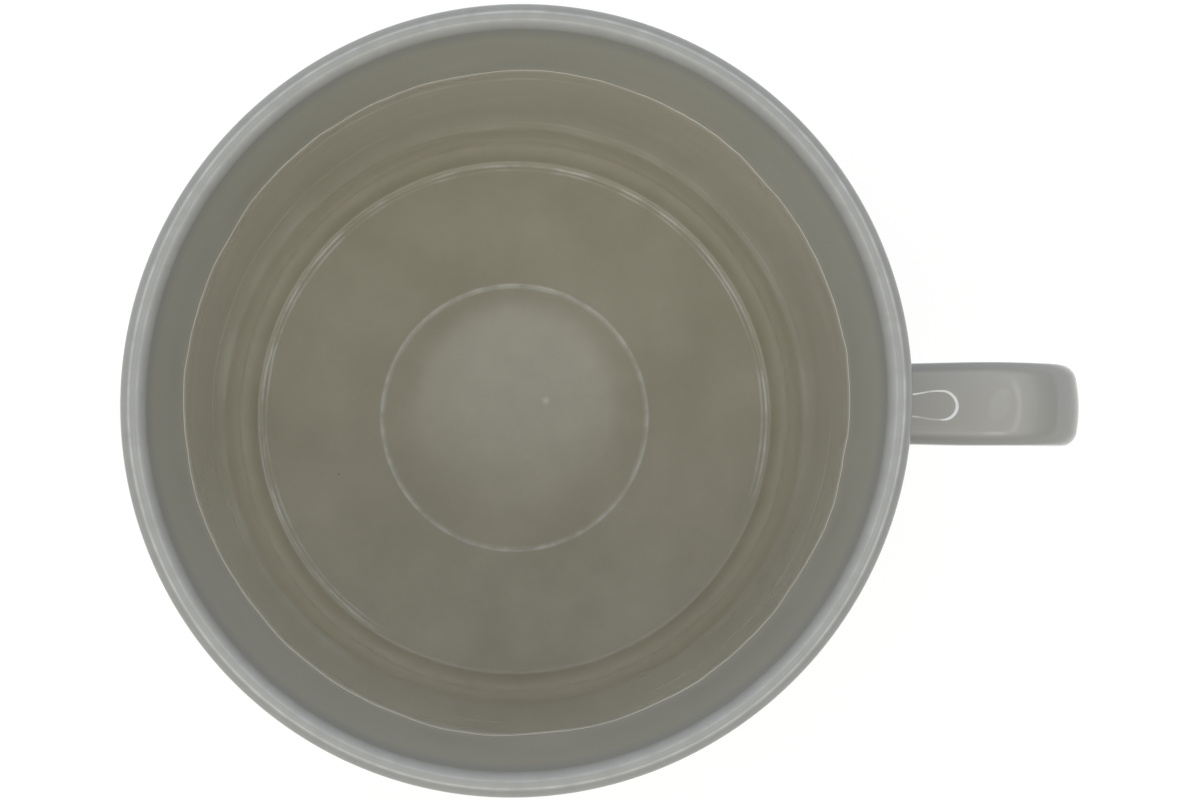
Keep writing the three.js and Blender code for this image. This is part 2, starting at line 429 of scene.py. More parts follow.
def lap_strength(tree, angle, lap):
    """A painted highlight line runs part of the way round: x is its strength, y its middle, z the cosine of
    its end.
    """
    parts = add_node(tree, "ShaderNodeSeparateXYZ", lap).outputs
    from_middle = add_node(tree, MATH, angle, parts["Y"], operation="SUBTRACT")
    facing = add_node(tree, MATH, from_middle, operation="COSINE")
    spare = add_node(tree, MATH, facing, parts["Z"], operation="SUBTRACT")
    soft_end = 0.15
    within = add_node(tree, MAP_RANGE, spare, -soft_end, soft_end, interpolation_type="SMOOTHSTEP")
    return add_node(tree, MATH, parts["X"], within, operation="MULTIPLY")


def turning_tree():
    """Geometry Nodes that turn a profile about an upright axis, and the identifiers of its inputs."""
    tree = bpy.data.node_groups.new("turn_a_profile", "GeometryNodeTree")
    sockets = named_inputs(tree)
    given = add_node(tree, "NodeGroupInput").outputs
    mesh, angle, at = sampled_grid(tree, given)
    read = {**at, "laps": lap_strength(tree, angle, at["lap"])}
    for mark in GLAZE_MARKS:
        kept = {"Geometry": mesh, "Name": mark, "Value": read[mark]}
        mesh = add_node(tree, "GeometryNodeStoreNamedAttribute", kept, data_type="FLOAT", domain="POINT")
    axis = add_node(tree, COMBINE, given["Axis X"])
    place = {"Position": marked_place(tree, given, angle, at), "Offset": axis}
    for kind, inputs in (
        ("GeometryNodeSetPosition", place),
        ("GeometryNodeMergeByDistance", {"Distance": 0.002 * MM}),
        ("GeometryNodeSetShadeSmooth", {}),
        ("GeometryNodeRealizeInstances", {}),
        ("GeometryNodeSetMaterial", {"Material": given["Material"]}),
    ):
        mesh = add_node(tree, kind, {"Geometry": mesh, **inputs})
    add_node(tree, "NodeGroupOutput", {"Geometry": mesh})
    return tree, sockets


turn_tree, turn_inputs = turning_tree()
print("turning tree inputs:", ", ".join(turn_inputs))

# %% [markdown]
# ## Profiles
# A profile is a line of points (radius, height) from the axis outwards, with the clay on its right. It is
# put together from straight stretches, arcs and soft bends, so a few small functions make those.


# %% Profile helpers
def arc(centre, radius, start, end, steps):
    """Points on an arc in the plane of the profile, angles in degrees from +r towards +z."""
    angles = [math.radians(start + (end - start) * i / steps) for i in range(steps + 1)]
    return [(centre[0] + radius * math.cos(a), centre[1] + radius * math.sin(a)) for a in angles]


def line(start, end, steps):
    """Points on a straight stretch, both ends included."""
    return [tuple(a + (b - a) * i / steps for a, b in zip(start, end)) for i in range(steps + 1)]


def arc_from(start, radius, slope, end_slope, steps):
    """Points on an arc that leaves start at one slope and ends at another, in degrees from level."""
    side = 1 if end_slope > slope else -1
    a = math.radians(slope)
    centre = (start[0] - side * radius * math.sin(a), start[1] + side * radius * math.cos(a))
    return arc(centre, radius, slope - 90 * side, end_slope - 90 * side, steps)


def bend(start, control, end, steps):
    """Points on a soft bend that leaves start and reaches end in the direction of control."""
    pairs = zip(line(start, control, steps), line(control, end, steps))
    return [line(a, b, steps)[i] for i, (a, b) in enumerate(pairs)]


def between(value, low, high):
    """A smooth step from 0 at low to 1 at high."""
    t = min(max((value - low) / (high - low), 0.0), 1.0)
    return t * t * (3 - 2 * t)


def joined(*stretches):
    """Stretches one after the other, without doubled points."""
    points = []
    for stretch in stretches:
        for point in stretch:
            if not points or math.dist(points[-1], point) > 0.005 * MM:
                points.append(point)
    return points


def sides(points):
    """Unit normals of a profile, to the left of its direction, which is away from the clay."""
    found = []
    for a, b in zip(points[:1] + points, points[1:] + points[-1:]):
        length = math.dist(a, b)
        found.append((-(b[1] - a[1]) / length, (b[0] - a[0]) / length))
    return found


def set_back(points, depth, every):
    """The profile of the other face of a coat, a depth inside the clay, with fewer points."""
    both = list(zip(points, sides(points)))
    kept = [*both[:-1:every], both[-1]]
    return [(max(r - away * depth, 0.0), z - up * depth) for (r, z), (away, up) in kept]


print("a quarter turn in 4 steps has", len(arc((0, 0), 1, 0, 90, 4)), "points")

# %% [markdown]
# ## The inside
# The floor has a flat disc in the middle, left by the tool that pressed the clay down. Towards its edge it
# sinks a little, then a small step runs round it, and the floor rises gently to a round corner and the
# upright wall. The corner is tight, and catches the light as one fine line, which a painted highlight line
# makes stronger. The liner glaze ends in a soft ledge below the lip, tucked under the glaze of the lip.


# %% Inside profile
def inside_profile():
    """Points of the liner's face, from the middle of the floor to its ledge, and the step's radius."""
    slope = math.degrees(dish_slope)
    sink = 0.06 * MM
    sink_start = 13.0 * MM
    sink_steps = 14
    disc = line((0, floor_top), (sink_start, floor_top), 16)
    for i in range(1, sink_steps + 1):
        t = i / sink_steps
        disc.append((sink_start + t * (disc_radius - sink_start), floor_top - sink * t * t))
    sunk = math.degrees(math.atan(2 * sink / (disc_radius - sink_start)))
    step_slope = 24
    hollow_round = 0.3 * MM
    crest_round = 0.9 * MM
    shoulder_width = 0.4 * MM
    hollow = arc_from(disc[-1], hollow_round, -sunk, step_slope, 6)
    crest = arc_from(hollow[-1], crest_round, step_slope, slope, 8)
    shoulder_end = (crest[-1][0] + shoulder_width, crest[-1][1] + math.tan(dish_slope) * shoulder_width)
    shoulder = line(crest[-1], shoulder_end, 5)

    corner_round = 3.6 * MM
    upright = 89.6
    lean = 0.45 * MM
    spread = corner_round * (math.sin(math.radians(upright)) - math.sin(dish_slope))
    corner_x = inner_radius - lean - spread
    corner_z = shoulder_end[1] + math.tan(dish_slope) * (corner_x - shoulder_end[0])
    dish = line(shoulder_end, (corner_x, corner_z), 16)
    corner = arc_from(dish[-1], corner_round, slope, upright, 48)

    ledge_round = 4.0 * MM
    ledge_turn = 20
    ledge_inset = 0.2 * MM
    tuck_reach = 0.6 * MM
    ledge_x = inner_radius - ledge_inset
    ledge_z = crease_z - ledge_round * math.sin(math.radians(ledge_turn))
    wall = line(corner[-1], (ledge_x, ledge_z), 80)
    ledge = arc((ledge_x + ledge_round, ledge_z), ledge_round, 180, 180 - ledge_turn, 8)
    tuck = line(ledge[-1], (inner_radius + tuck_reach, crease_z), 2)
    stretches = (disc, hollow, crest, shoulder, dish, corner, wall, ledge, tuck)
    return joined(*stretches), (hollow[-1][0] + crest[-1][0]) / 2


inside, ring_radius = inside_profile()
print("inside profile:", len(inside), "points, step at", round(ring_radius / MM, 2), "mm")

# %% [markdown]
# ## The outside
# The dipped glaze starts at the ledge, covers the flared lip, rounds over the rim and runs down the wall.
# Near the foot it ends in a fat rounded edge, as glaze does where it was wiped away.


# %% Outside profile
def outside_profile():
    """Points of the outer glaze's face, from the ledge inside the lip to its edge above the foot."""
    lip_gap = 0.02 * MM
    lip_drop = 0.15 * MM
    lip_meets_rim = 163
    lip_start = (inner_radius + lip_gap, crease_z - lip_drop)
    rim = arc((rim_radius - rim_round, height - rim_round), rim_round, lip_meets_rim, 0, 60)
    lip = line(lip_start, rim[0], 26)
    flare_z = height - flare_height
    flare = bend(rim[-1], (body_radius, height - flare_height / 2), (body_radius, flare_z), 26)
    bottom_x = body_radius - bottom_round
    bottom_z = underside + bottom_round
    wall = line((body_radius, flare_z), (body_radius, bottom_z), 70)
    wiped_at = -88
    bottom = arc((bottom_x, bottom_z), bottom_round, 0, wiped_at, 30)
    roll_round = 0.45 * MM
    roll_end = -185
    roll = arc((bottom[-1][0], bottom[-1][1] + roll_round), roll_round, -90, roll_end, 8)
    return joined(lip, rim, flare, wall, bottom, roll), len(lip)


outside, lip_count = outside_profile()
print("outside profile:", len(outside), "points down to", round(outside[-1][1] / MM, 1), "mm")

# %% [markdown]
# ## Hand marks and painted highlight lines
# Each point of a profile becomes a row that also says how much of each mark it takes: ripple for throwing
# rings, drift for a wandering glaze edge, oval for the lip, and what the glaze reads, painted light
# included. The painted highlight lines of the liner are listed once: where each runs, half its width, its
# strength, and the stretch of the round that it covers. Looking down into the cup, the wall is seen at a
# slant, so lines on it are drawn millimetres wide.


# %% Rows and lap lines
def lip_oval(z):
    """How much of the lip's ovalness a height takes: none below the flare, all at the rim."""
    return between(z, height - 1.2 * flare_height, height)


def edge_drift(r, z):
    """Rows near the ledge wander together with the glaze edge."""
    if r > rim_radius - lip_thickness:
        return 0.0
    return 1.0 - between(abs(z - crease_z), 0.5 * MM, 5.0 * MM)


def row(r, z, **marks):
    """A profile point with its hand marks; what isn't given stays plain."""
    plain = {"ripple": 0.0, "tint": 0.5, "breaks": 0.0, "seam": far_off, "lap": no_lap}
    return {"place": (r, z), "drift": edge_drift(r, z), "oval": lip_oval(z), **plain, **marks}


far_off = 4.0
no_lap = (0.0, 0.0, 0.0)
# painted highlight lines: the first lies on the tight corner of the floor, the others are painted streaks
# of reflection up the wall. Along the radius or the height, the middle and half the width of the line, its
# strength, and in degrees the middle of its stretch and half of that stretch
lap_lines = (
    ("r", 35.45 * MM, 0.19 * MM, 0.75, 108, 125),
    ("z", 17.0 * MM, 0.8 * MM, 0.6, 95, 48),
    ("z", 26.0 * MM, 1.1 * MM, 0.55, 118, 34),
    ("z", 36.0 * MM, 1.2 * MM, 0.3, 50, 45),
    ("z", 50.0 * MM, 1.2 * MM, 0.3, 165, 45),
    ("z", 66.0 * MM, 1.0 * MM, 0.4, 305, 48),
    ("z", 77.5 * MM, 1.3 * MM, 0.45, 112, 28),
)


def nearest_lap(r, z):
    """The way to the nearest painted highlight line in halves of its width, and that line's strength and
    stretch.
    """
    found = (far_off, no_lap)
    for along, middle, half, strength, angle, stretch in lap_lines:
        across = ((r if along == "r" else z) - middle) / half
        if abs(across) < abs(found[0]):
            found = (across, (strength, math.radians(angle), math.cos(math.radians(stretch))))
    return found


print("lap lines in the liner glaze:", len(lap_lines))

# %% [markdown]
# ## Turning the coats
# Each coat is a closed shell: its face, its back against the clay, and the edges between them. The profile
# becomes a mesh of loose points that carries the hand marks as attributes, the tree turns it, and the
# result is kept as a plain mesh with the modifier removed.


# %% Turn rows into a piece
def turned_piece(name, rows, material, **sizes):
    """Runs the turning tree on profile rows and keeps the result as a plain mesh."""
    points = [each["place"] for each in rows]
    mesh = bpy.data.meshes.new(name + "_profile")
    mesh.from_pydata([(r, 0.0, z) for r, z in points], [], [])
    vectors = {"side": [(away, 0.0, up) for away, up in sides(points)]}
    vectors["lap"] = [each["lap"] for each in rows]
    for mark, found in vectors.items():
        values = mesh.attributes.new(mark, "FLOAT_VECTOR", "POINT")
        values.data.foreach_set("vector", [c for vector in found for c in vector])
    for mark in ROW_MARKS:
        values = mesh.attributes.new(mark, "FLOAT", "POINT")
        values.data.foreach_set("value", [each[mark] for each in rows])

    piece = placed(name, mesh)
    modifier = piece.modifiers.new("turn", "NODES")
    modifier.node_group = turn_tree
    for socket, value in {"Axis X": axis_x, "Material": material, **sizes}.items():
        modifier[turn_inputs[socket]] = value
    graph = bpy.context.evaluated_depsgraph_get()
    made = bpy.data.meshes.new_from_object(piece.evaluated_get(graph))
    piece.modifiers.clear()
    piece.data = made
    made.name = name

    shell = bmesh.new()
    shell.from_mesh(made)
    bmesh.ops.recalc_face_normals(shell, faces=shell.faces)
    open_edges = sum(1 for e in shell.edges if len(e.link_faces) != 2)
    shell.to_mesh(made)
    shell.free()
    print(name, len(made.polygons), "faces,", open_edges, "open edges")
    return piece


# %% [markdown]
# The liner is thickest on the floor and thins up the wall, and its corner and low wall are painted lighter
# against the shade in the cup. The pale line on the step and the softer one on the ledge are partly glaze
# that ran thinner over an edge and partly painted highlight, with a faint painted glow below the ledge. The
# pale lines on the corner and up the wall are a painted highlight and painted streaks of reflection.


# %% Turn the liner
def liner_rows():
    """The liner's face with its hand marks, then its back, from the ledge down to the axis."""
    rows = []
    for (r, z), (away, up) in zip(inside, sides(inside)):
        # the rings fade out towards the floor
        ripple = 0.06 + 0.94 * between(z, 24 * MM, 48 * MM)
        # the colour goes from the floor's over the corner to the wall's, and further up to the lip's; the
        # corner and low wall get the lightest colour, painted light against the shade in the bottom of the
        # cup
        steep = 0.0 if r < disc_radius + 3 * MM else math.degrees(math.atan2(-away, up))
        tint = 0.15 + 0.35 * between(steep, 20, 78) + 0.5 * between(z, 14 * MM, 56 * MM)
        # pale on the step round the disc and a little on the ledge, partly thinned glaze and partly painted
        # highlight, and a faint painted glow below the ledge
        step = 0.6 * (1 - between(abs(r - ring_radius), 0.1 * MM, 0.36 * MM))
        ledge = 0.03 * between(z, crease_z - 1.0 * MM, crease_z - 0.2 * MM)
        glow = 0.03 * between(z, crease_z - 5 * MM, crease_z - 0.5 * MM)
        seam, lap = nearest_lap(r, z)
        breaks = max(step, ledge + glow)
        rows.append(row(r, z, ripple=ripple, tint=tint, breaks=breaks, seam=seam, lap=lap))
    rows += [row(r, z) for r, z in reversed(set_back(inside, glaze, 6))]
    return rows


thrown = {
    "Ring Spacing": 6 * MM,
    "Ring Depth": 0.02 * MM,
    "Ring Breaks": 1.6,
    "Uneven Size": 12 * MM,
    "Uneven Depth": 0.03 * MM,
    "Edge Wander": 1.0 * MM,
}
liner_coat = turned_piece("liner_glaze_coat", liner_rows(), liner_glaze, **thrown)

# %% [markdown]
# The outer coat pools a little above the foot. Inside the lip it is painted warmer, for the light that
# comes back from the liner. The rim is a little paler, partly glaze thinned over it and partly painted
# light, and two fine painted highlight lines run on the shoulders of the rim.


# %% Turn the outer coat
def rim_lines(r, z):
    """Two fine painted highlight lines on the shoulders of the rim, over a rim that is a little paler."""
    if z < height - rim_round:
        return 0.0
    lean = math.degrees(math.atan2(r - rim_radius + rim_round, z - height + rim_round))
    shoulder = 17
    inner = 0.1 * (1 - between(abs(lean + shoulder), 2, 7))
    outer = 0.22 * (1 - between(abs(lean - shoulder), 2, 7))
    return 0.06 + inner + outer


def outer_rows():
    """The outer coat's face with its hand marks, then its back, closed to a loop."""
    rows = []
    for i, (r, z) in enumerate(outside):
        # no rings on the edge above the foot and on the rim
        plain = between(z, underside + 1 * MM, underside + 5 * MM)
        crisp = between(abs(z - height), 2 * MM, 8 * MM)
        # the colour of a pool just above the foot
        tint = 0.5 - 0.4 * (1 - between(z, underside, underside + 6 * MM))
        # the rim: two painted highlight lines on its shoulders, over a rim that is partly painted paler
        thin = rim_lines(r, z)
        if i < lip_count:
            plain *= between(z, crease_z, crease_z + 2 * MM)
            # painted light: inside the lip the colour turns warmer, for the light bounced from the liner
            tint += 0.5 * between(height - z, 1 * MM, 4 * MM)
            # pale where the glaze ends inside the lip, partly thinned glaze at its edge and partly painted
            # highlight
            thin = 0.07 * (1 - between(z, crease_z, crease_z + 1.5 * MM))
        rows.append(row(r, z, ripple=plain * crisp, tint=tint, breaks=thin))
    rows += [row(r, z) for r, z in reversed(set_back(outside, glaze, 6))]
    return rows + rows[:1]


outer_coat = turned_piece("outer_glaze_coat", outer_rows(), outer_glaze, **{"Edge Wander": 1.0 * MM})

# %% [markdown]
# ## The clay cup
# Under the coats is the clay itself. Only its foot shows: the ring that the mug stands on, with edges
# rounded by a wet sponge, and the hollow inside it with the fine grooves of the trimming tool.


# %% Turn the clay cup
def clay_rows():
    """The hidden clay just under both coats, then the bare foot ring and its hollow."""
    under_coat = glaze + 0.03 * MM
    hidden = set_back(inside, under_coat, 8)[:-1] + set_back(outside, under_coat, 8)[1:]
    sponge = 0.5 * MM
    ring_in = foot_radius - foot_width
    top = hidden[-1][1]
    foot = joined(
        arc((foot_radius + sponge, top - sponge), sponge, 90, 180, 6),
        line((foot_radius, top - sponge), (foot_radius, sponge), 6),
        arc((foot_radius - sponge, sponge), sponge, 0, -90, 8),
        line((foot_radius - sponge, 0), (ring_in + sponge, 0), 8),
        arc((ring_in + sponge, sponge), sponge, -90, -180, 8),
        line((ring_in, sponge), (ring_in, recess_depth - sponge), 4),
        arc((ring_in - sponge, recess_depth - sponge), sponge, 0, 90, 6),
        line((ring_in - sponge, recess_depth), (0, recess_depth), 60),
    )
    rows = [row(r, z) for r, z in hidden]
    for r, z in foot:
        in_hollow = between(z, recess_depth - 0.3 * MM, recess_depth - 0.05 * MM)
        off_middle = between(r, 0, 3 * MM)
        rows.append(row(r, z, ripple=in_hollow * off_middle * between(ring_in - r, 0, 2 * MM)))
    return rows


trimmed = {"Ring Spacing": 1.6 * MM, "Ring Depth": 0.12 * MM, "Uneven Depth": 0.1 * MM}
clay_cup = turned_piece("clay_cup", clay_rows(), bare_clay, **trimmed)

# %% [markdown]
# ## The strap handle
# The handle is a strap with round edges and a slightly crowned face. It leaves the cup level, turns down
# in a tight bend, drops as a straight grip and returns in a wider bend. At both ends the slip was smoothed
# with a finger, so the strap spreads into the wall in a small fillet. A curve with a bevel would give the
# plain strap, but each ring near the cup has to lie on the round wall, so the rings are worked out one by
# one.


# %% Strap section and path
def resampled(points, count):
    """Points at equal distances along a polyline, both ends included."""
    lengths = [0.0]
    for a, b in zip(points, points[1:]):
        lengths.append(lengths[-1] + math.dist(a, b))
    found = []
    k = 0
    for i in range(count):
        s = lengths[-1] * i / (count - 1)
        while k < len(points) - 2 and lengths[k + 1] < s:
            k += 1
        t = (s - lengths[k]) / (lengths[k + 1] - lengths[k])
        found.append(tuple(p + (q - p) * t for p, q in zip(points[k], points[k + 1])))
    return found


def strap_section(count=140, edge_round=1.5 * MM, crown=0.19, bulge=0.05):
    """Outline of the strap as (u, v): u through its thickness, v across its width, with crowned faces."""
    half_u = strap_thickness / 2
    half_v = strap_width / 2
    outline = []
    for quarter, (su, sv) in enumerate(((1, 1), (-1, 1), (-1, -1), (1, -1))):
        centre = (su * (half_u - edge_round), sv * (half_v - edge_round))
        outline += arc(centre, edge_round, 90 * quarter, 90 * quarter + 90, 40)
    even = resampled(outline + outline[:1], 1200)
    crowned = [(u * (1 - crown * (v / half_v) ** 2), v * (1 - bulge * (u / half_u) ** 2)) for u, v in even]
    return resampled(crowned, count + 1)[:-1]


def wall_radius(z):
    """Outside radius of the cup at a height, flare included."""
    t = min(max((z - (height - flare_height)) / flare_height, 0.0), 1.0)
    return body_radius + (rim_radius - body_radius) * t * t


def strap_path(count=500, easing=14):
    """Middle line of the strap from wall to wall, its bends eased so that reflections run on smoothly."""
    upper = arc((grip_x - upper_bend, upper_joint - upper_bend), upper_bend, 90, 0, 24)
    lower = arc((grip_x - lower_bend, lower_joint + lower_bend), lower_bend, 0, -90, 36)
    points = resampled([(body_radius, upper_joint), *upper, *lower, (body_radius, lower_joint)], count)
    for _ in range(2):
        eased = []
        for i in range(count):
            reach_both = min(easing, i, count - 1 - i)
            window = points[i - reach_both : i + reach_both + 1]
            eased.append(tuple(sum(p[k] for p in window) / len(window) for k in (0, 1)))
        points = eased
    return resampled(points, count)


section = strap_section()
section_normals = [(-u, -v) for u, v in sides([section[-1], *section, section[0]])[1:-1]]
strap_line = strap_path()
strap_length = sum(math.dist(a, b) for a, b in zip(strap_line, strap_line[1:]))
print("strap:", len(section), "points round,", round(strap_length / MM, 1), "mm long")

# %% [markdown]
# Where the maker's thumb pressed the strap onto the cup it left a shallow dent, open towards the cup, and
# a painted highlight runs pale along its edge. A faint oval and a streak of painted reflection lie further
# out. All three are placed by their distance from the cup's axis and from the middle of the strap.


# %% Marks on the strap
def thumb_dent(x, y):
    """Depth of the dent at a place on top of the strap, and the way across its edge in half lines."""
    tip_x, tip_y = 50.2 * MM, -0.25 * MM
    deepest = 0.16 * MM
    soft = 0.45 * MM
    neck_x, belly_x = 46.3 * MM, 49.6 * MM
    radius = 1.3 * MM + 0.38 * MM * between(x, neck_x, belly_x)
    from_middle = math.hypot(max(x - tip_x, 0.0), y - tip_y)
    depth = deepest * (1 - between(from_middle, radius - soft, radius + soft))
    line_half = 0.1 * MM + 0.09 * MM * between(x, tip_x - 1 * MM, tip_x + radius)
    return depth, (from_middle - radius) / line_half


def smear(x, y):
    """Painted reflections on top of the strap: a faint oval and a faint streak."""
    turn = math.radians(62)
    oval_x, oval_y = x - 57.0 * MM, y + 0.1 * MM
    along = oval_x * math.cos(turn) + oval_y * math.sin(turn)
    across = oval_y * math.cos(turn) - oval_x * math.sin(turn)
    oval = math.hypot(along / (2.0 * MM), across / (1.3 * MM))
    streak_x, streak_y = x - 56.6 * MM, y + 3.55 * MM
    streak = math.hypot(streak_x / (1.9 * MM), streak_y / (0.22 * MM))
    return 0.07 * (1 - between(oval, 0.7, 1.2)) + 0.12 * (1 - between(streak, 0.4, 1.2))


print("the thumb dent is", round(thumb_dent(48 * MM, 0)[0] / MM, 2), "mm deep")

# %% [markdown]
# The fillet is a quarter circle between the strap and the wall: a ring at a distance d from the wall is
# grown by what is left of that quarter circle. The first and last rings are wider still and lie a little
# inside the glaze of the cup, so the fillet runs out into the wall and no gap or collar can show.

# %% Rings of the strap
fillet = (3.2 * MM, 3.6 * MM)
sunk = 0.16 * MM
skirt = 1.3 * MM
detailed = 19 * MM
hand_mark = 0.05 * MM
dent_line = 1.8
level_run = (grip_x - upper_bend - body_radius, grip_x - lower_bend - body_radius)


def strap_stations():
    """Distances along the strap that get a ring, close together in the fillets and round the dent."""
    quarter = [math.radians(90 * k / 12) for k in range(13)]
    starts = [fillet[0] * (1 - math.cos(q)) for q in quarter]
    ends = [strap_length - fillet[1] * (1 - math.cos(q)) for q in reversed(quarter)]
    fine = [a for a, _ in line((starts[-1], 0), (detailed, 0), 70)[1:]]
    plain = [a for a, _ in line((detailed, 0), (ends[0], 0), 100)[1:-1]]
    return [-sunk, *starts, *fine, *plain, *ends, strap_length + sunk]


def strap_ring(s):
    """The ring at a distance s along the strap: its points, each with what the glaze reads there."""
    step = strap_length / (len(strap_line) - 1)
    place = min(max(s / step, 0.0), len(strap_line) - 1.001)
    k = int(place)
    (x0, z0), (x1, z1) = strap_line[k], strap_line[k + 1]
    x, z = x0 + (x1 - x0) * (place - k), z0 + (z1 - z0) * (place - k)
    tx, tz = (x1 - x0) / step, (z1 - z0) / step

    # how far the fillet grows the ring, and how the strap narrows and thins on its way down
    end = 0 if s < strap_length / 2 else 1
    d = s if end == 0 else strap_length - s
    left = max(fillet[end] - max(d, 0.0), 0.0)
    grow = fillet[end] - math.sqrt(max(fillet[end] ** 2 - left**2, 0.0))
    if d < 0:
        grow += skirt
    down = between(s, level_run[0], strap_length - level_run[1])
    narrow = 0.98 - 0.03 * (1 - between(s, 2 * MM, 13 * MM)) - 0.16 * down
    thinner = 1 - 0.1 * down
    curved = 1 - between(d, fillet[end], level_run[end] - 3 * MM)

    ring = []
    for (u, v), (nu, nv) in zip(section, section_normals):
        pu = u * thinner + nu * grow
        pv = v * narrow + nv * grow
        px = x - tz * pu
        pz = z + tx * pu
        if curved > 0:
            on_wall = math.sqrt((wall_radius(pz) + d) ** 2 - pv**2)
            px = px * (1 - curved) + on_wall * curved
        # painted light: the face turned away from the bend, which on the upper run is the top, takes the
        # lighter pooled colour near both joints
        tint = 0.5 - 0.4 * between(nu, 0.6, 1.0) * (1 - between(d, 14 * MM, 26 * MM))
        marks = {"tint": tint, "breaks": 0.0, "seam": 9.0, "laps": 0.0}
        # a painted highlight along the edge of the thumb dent, and painted reflections further out
        if s < detailed and nu > 0.5:
            depth, seam = thumb_dent(px, pv)
            marks.update(breaks=smear(px, pv), seam=seam, laps=dent_line)
            pz -= depth
        uneven = noise.noise(Vector((px, pv, pz)) / (7 * MM))
        off = hand_mark * uneven * between(d, 0, 4 * MM)
        ring.append(((axis_x + px - tz * nu * off, pv + nv * off, pz + tx * nu * off), marks))
    return ring


rings = [strap_ring(s) for s in strap_stations()]
print("the strap has", len(rings), "rings")

# %% [markdown]
# The rings are joined to a skin of four-sided faces, and both ends are closed.


# %% Build the handle
def strap_handle(name):
    """A closed strap, ring by ring from the upper joint to the lower one."""
    shell = bmesh.new()
    size = len(section)
    loops = [[shell.verts.new(point) for point, _ in ring] for ring in rings]
    for one, two in zip(loops, loops[1:]):
        for k in range(size):
            shell.faces.new((one[k], one[(k + 1) % size], two[(k + 1) % size], two[k]))
    shell.faces.new(loops[0])
    shell.faces.new(loops[-1])
    bmesh.ops.recalc_face_normals(shell, faces=shell.faces)
    for face in shell.faces:
        face.smooth = True
    mesh = bpy.data.meshes.new(name)
    shell.to_mesh(mesh)
    shell.free()
    for mark in GLAZE_MARKS:
        kept = mesh.attributes.new(mark, "FLOAT", "POINT")
        kept.data.foreach_set("value", [marks[mark] for ring in rings for _, marks in ring])
    mesh.materials.append(outer_glaze)
    piece = placed(name, mesh)
    print(name, len(mesh.polygons), "faces in", len(loops), "rings")
    return piece


handle = strap_handle("glazed_strap_handle")

# %% [markdown]
# ## Hide the solids that each piece stands for
# Every piece rides on the mug's one body and says which solids it stands for, and those solids are
# hidden.

# %% Ride and replace
for piece, nodes, slot in (
    (liner_coat, ["liner_glaze"], "liner_glaze"),
    (outer_coat, ["outer_glaze"], "outer_glaze"),
    (clay_cup, ["body"], "bare_clay"),
    (handle, ["handle", "handle_glaze", "upper_slip_joint", "lower_slip_joint"], "outer_glaze"),
):
    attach(piece, "root")
    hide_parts(*nodes)
    print(piece.name, "stands for", ", ".join(nodes))

# %% [markdown]
# ## Stage
# A plain pale table top under the mug, wide enough that its edge never shows. White paper would throw much
# light up at the handle and the lip, which the photograph doesn't have, so the paper itself is a mid grey,
# and the camera and the reflections see it lifted to white. It still takes a little of the mug's shadow.


# %% Table
def table_top():
    """A matt floor that looks white, marked as stage."""
    material, tree, shader = new_material("pale_matt_paper")
    rays = add_node(tree, "ShaderNodeLightPath").outputs
    seen = rays["Is Camera Ray"]
    for other in ("Is Glossy Ray", "Is Transmission Ray"):
        seen = add_node(tree, MATH, seen, rays[other], operation="MAXIMUM")
    lifted = 0.8
    lift = add_node(tree, MATH, seen, lifted, operation="MULTIPLY")
    fill(tree, shader, {"Base Color": linear("#8f8f8e"), "Roughness": 0.9, "Specular IOR Level": 0.1})
    fill(tree, shader, {"Emission Color": linear("#ffffff"), "Emission Strength": lift})
    half = 8.0
    mesh = bpy.data.meshes.new("table_top")
    corners = [(-half, -half, 0), (half, -half, 0), (half, half, 0), (-half, half, 0)]
    mesh.from_pydata(corners, [], [(0, 1, 2, 3)])
    mesh.materials.append(material)
    floor = placed("table_top", mesh)
    floor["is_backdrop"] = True
    return floor


floor = table_top()
print("table top:", floor.name)

# %% [markdown]
# ## Light
# One soft dome of light, as in a white tent: a brighter ring half way down that draws two fine lines on
# the rim (painted highlight lines lie there too), more from the near side and the lower left, less from the
# handle's side, and a small lamp near straight above that lies as a soft shine on the floor of the cup.
# Lamps could do it, but each would draw its own spot on the glaze. The dome is a ramp over the height of
# the direction that light comes from; in a world, Generated is that direction. Its near half is a little
# warmer than its far half.


